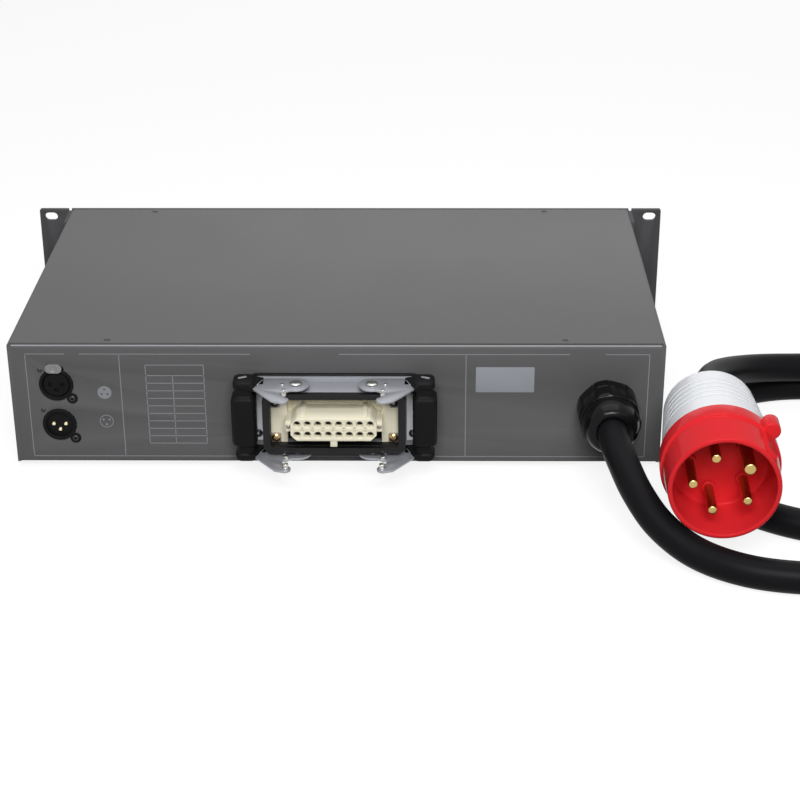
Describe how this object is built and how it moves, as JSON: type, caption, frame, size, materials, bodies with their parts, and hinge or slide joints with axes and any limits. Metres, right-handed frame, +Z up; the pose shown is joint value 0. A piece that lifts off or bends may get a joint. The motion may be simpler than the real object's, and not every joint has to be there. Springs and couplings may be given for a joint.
{
  "type": "dimmer pack",
  "caption": "Rack dimmer pack with a lever-locked multi-pole outlet, data sockets, breakers and a three-phase lead with plug.",
  "frame": {"origin": "floor level under the middle of the pack's own box, without the lead", "axes": "+Z up, +Y out of the rear panel where the sockets and the lead are, +X to the left of someone facing the rear panel"},
  "size_m": [0.7184, 0.4418, 0.092],
  "materials": {
    "case_grey": "satin powder coat",
    "panel_grey": "satin powder coat",
    "cast_grey": "satin cast alloy",
    "zinc": "zinc plated",
    "steel": "plain",
    "silver": "polished",
    "brass": "polished",
    "copper": "enamelled winding",
    "black_plastic": "matt",
    "cream_plastic": "matt",
    "light_plastic": "matt",
    "red_plastic": "glossy",
    "white_plastic": "satin",
    "lens": "glossy",
    "board_green": "satin",
    "rubber": "matt"
  },
  "bodies": {
    "case": {"chassis": "case_grey", "top_cover": "case_grey", "front_panel": "panel_grey", "foot_front_left": "rubber", "foot_front_right": "rubber", "foot_rear_left": "rubber", "foot_rear_right": "rubber", "xlr_out_body": "black_plastic", "xlr_out_insert": "black_plastic", "xlr_in_body": "black_plastic", "xlr_in_pin_1": "brass", "xlr_in_pin_2": "brass", "xlr_in_pin_3": "brass", "outlet_gasket": "rubber", "outlet_housing": "cast_grey", "outlet_rim_seal": "rubber", "outlet_insert": "cream_plastic", "gland_body": "black_plastic", "gland_nut": "black_plastic", "gland_locknut": "black_plastic", "power_cable": "rubber", "plug_shroud": "red_plastic", "plug_body": "white_plastic", "plug_gland_nut": "white_plastic", "plug_pin_earth": "brass", "plug_pin_1": "brass", "plug_pin_2": "brass", "plug_pin_3": "brass", "plug_pin_4": "brass", "breaker_bank": "light_plastic", "din_rail": "zinc", "display_window": "lens", "control_board": "board_green", "fan_frame": "black_plastic", "heatsink": "steel", "power_board": "board_green", "choke_1": "copper", "choke_2": "copper", "choke_3": "copper", "choke_4": "copper", "choke_5": "copper", "choke_6": "copper", "transformer": "steel", "mains_terminals": "cream_plastic"},
    "lever_left": {"lever_left_bail": "zinc", "lever_left_grip": "black_plastic"},
    "lever_right": {"lever_right_bail": "zinc", "lever_right_grip": "black_plastic"},
    "xlr_latch": {"xlr_out_latch": "silver"},
    "toggle_1": {"breaker_toggle_1": "black_plastic"},
    "toggle_2": {"breaker_toggle_2": "black_plastic"},
    "toggle_3": {"breaker_toggle_3": "black_plastic"},
    "toggle_4": {"breaker_toggle_4": "black_plastic"},
    "toggle_5": {"breaker_toggle_5": "black_plastic"},
    "toggle_6": {"breaker_toggle_6": "black_plastic"},
    "button_1": {"menu_button_1": "black_plastic"},
    "button_2": {"menu_button_2": "black_plastic"},
    "button_3": {"menu_button_3": "black_plastic"},
    "button_4": {"menu_button_4": "black_plastic"},
    "rotor": {"fan_rotor": "black_plastic"}
  },
  "joints": [
    {"name": "lever_left_swing", "type": "hinge", "parent": "case", "child": "lever_left", "pos_m": [-0.0239, 0.13101, 0.045], "axis": [0, 0, -1], "range_deg": [0, 60]},
    {"name": "lever_right_swing", "type": "hinge", "parent": "case", "child": "lever_right", "pos_m": [0.0257, 0.13101, 0.045], "axis": [0, 0, 1], "range_deg": [0, 60]},
    {"name": "xlr_latch_push", "type": "slide", "parent": "case", "child": "xlr_latch", "axis": [0, -1, 0], "range_m": [0, 0.0015], "stiffness_N_per_m": 1000},
    {"name": "toggle_1_throw", "type": "hinge", "parent": "case", "child": "toggle_1", "pos_m": [0.0435, -0.14479, 0.0485], "axis": [1, 0, 0], "range_deg": [0, 50]},
    {"name": "toggle_2_throw", "type": "hinge", "parent": "case", "child": "toggle_2", "pos_m": [0.0613, -0.14479, 0.0485], "axis": [1, 0, 0], "range_deg": [0, 50]},
    {"name": "toggle_3_throw", "type": "hinge", "parent": "case", "child": "toggle_3", "pos_m": [0.0791, -0.14479, 0.0485], "axis": [1, 0, 0], "range_deg": [0, 50]},
    {"name": "toggle_4_throw", "type": "hinge", "parent": "case", "child": "toggle_4", "pos_m": [0.0969, -0.14479, 0.0485], "axis": [1, 0, 0], "range_deg": [0, 50]},
    {"name": "toggle_5_throw", "type": "hinge", "parent": "case", "child": "toggle_5", "pos_m": [0.1147, -0.14479, 0.0485], "axis": [1, 0, 0], "range_deg": [0, 50]},
    {"name": "toggle_6_throw", "type": "hinge", "parent": "case", "child": "toggle_6", "pos_m": [0.1325, -0.14479, 0.0485], "axis": [1, 0, 0], "range_deg": [0, 50]},
    {"name": "button_1_press", "type": "slide", "parent": "case", "child": "button_1", "axis": [0, 1, 0], "range_m": [0, 0.0012], "stiffness_N_per_m": 1000},
    {"name": "button_2_press", "type": "slide", "parent": "case", "child": "button_2", "axis": [0, 1, 0], "range_m": [0, 0.0012], "stiffness_N_per_m": 1000},
    {"name": "button_3_press", "type": "slide", "parent": "case", "child": "button_3", "axis": [0, 1, 0], "range_m": [0, 0.0012], "stiffness_N_per_m": 1000},
    {"name": "button_4_press", "type": "slide", "parent": "case", "child": "button_4", "axis": [0, 1, 0], "range_m": [0, 0.0012], "stiffness_N_per_m": 1000},
    {"name": "fan_spin", "type": "hinge", "parent": "case", "child": "rotor", "pos_m": [-0.2012, -0.06339, 0.0485], "axis": [1, 0, 0], "continuous": true}
  ]
}
